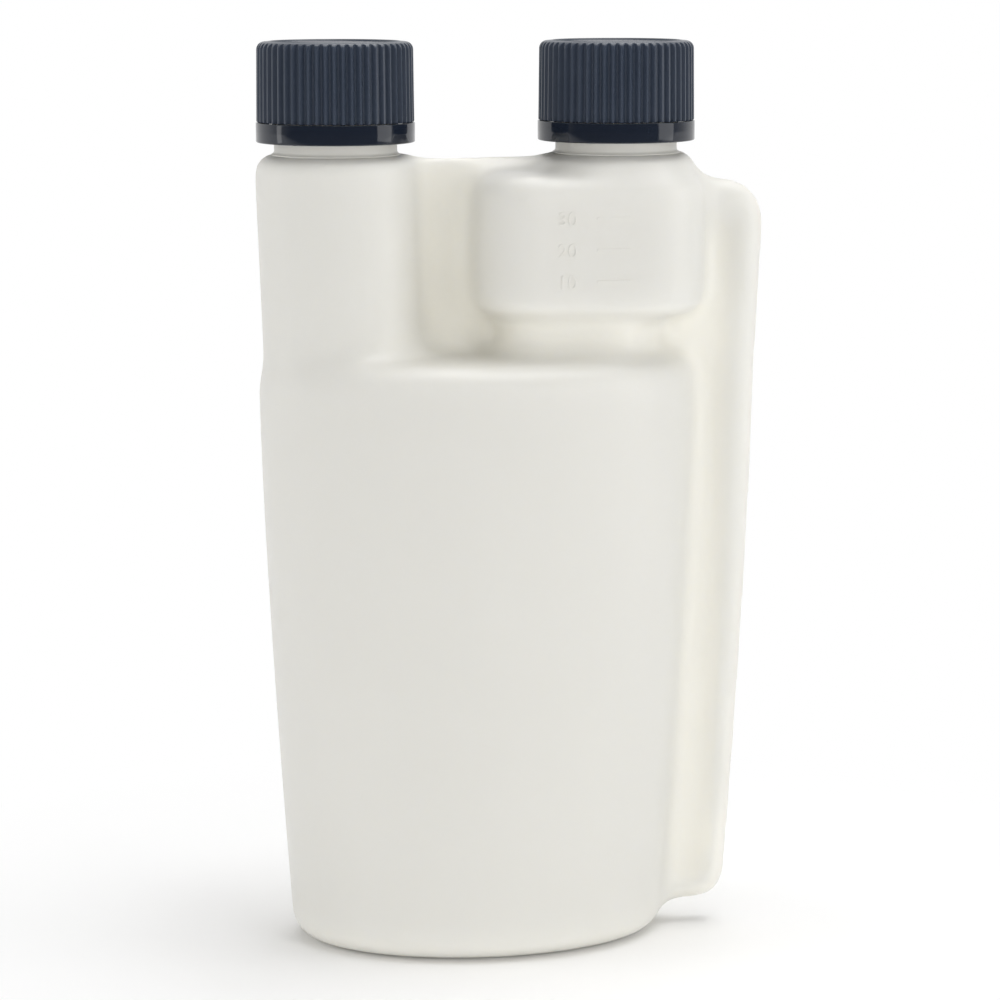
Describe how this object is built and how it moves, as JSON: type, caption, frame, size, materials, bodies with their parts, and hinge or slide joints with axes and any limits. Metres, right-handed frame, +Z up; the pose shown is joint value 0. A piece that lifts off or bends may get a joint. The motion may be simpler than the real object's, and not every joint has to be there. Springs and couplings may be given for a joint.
{
  "type": "measuring squeeze bottle",
  "caption": "Squeeze bottle with a reservoir, a small measuring chamber fed by a moulded side tube, and a ribbed screw cap on each neck.",
  "frame": {"origin": "middle of the bottle's whole width and depth, on the surface it stands on", "axes": "+X from the filler neck towards the measuring neck and the side tube, +Y through the depth away from the picture's viewer, +Z up"},
  "size_m": [0.105, 0.0564, 0.1859],
  "materials": {
    "bottle_plastic": "satin, milky natural polyethylene",
    "cap_plastic": "fine satin, moulded ribs",
    "band_plastic": "smooth and glossy",
    "liner_foam": "matt foamed sheet"
  },
  "bodies": {
    "bottle": {"bottle": "bottle_plastic", "filler_tamper_ring": "band_plastic", "measuring_tamper_ring": "band_plastic"},
    "filler_liner": {"filler_cap_liner": "liner_foam"},
    "filler_cap": {"filler_cap": "cap_plastic"},
    "measuring_liner": {"measuring_cap_liner": "liner_foam"},
    "measuring_cap": {"measuring_cap": "cap_plastic"}
  },
  "joints": [
    {"name": "filler_lift", "type": "slide", "parent": "bottle", "child": "filler_liner", "axis": [0, 0, 1], "range_m": [0, 0.00477]},
    {"name": "filler_turn", "type": "hinge", "parent": "filler_liner", "child": "filler_cap", "pos_m": [-0.0361, 0, 0.1778], "axis": [0, 0, 1], "range_deg": [0, 540]},
    {"name": "measuring_lift", "type": "slide", "parent": "bottle", "child": "measuring_liner", "axis": [0, 0, 1], "range_m": [0, 0.00477]},
    {"name": "measuring_turn", "type": "hinge", "parent": "measuring_liner", "child": "measuring_cap", "pos_m": [0.0216, 0, 0.1778], "axis": [0, 0, 1], "range_deg": [0, 540]}
  ],
  "couplings": [
    {"joint": "filler_lift", "follows": "filler_turn", "m_per_rad": 0.00050532},
    {"joint": "measuring_lift", "follows": "measuring_turn", "m_per_rad": 0.00050532}
  ]
}
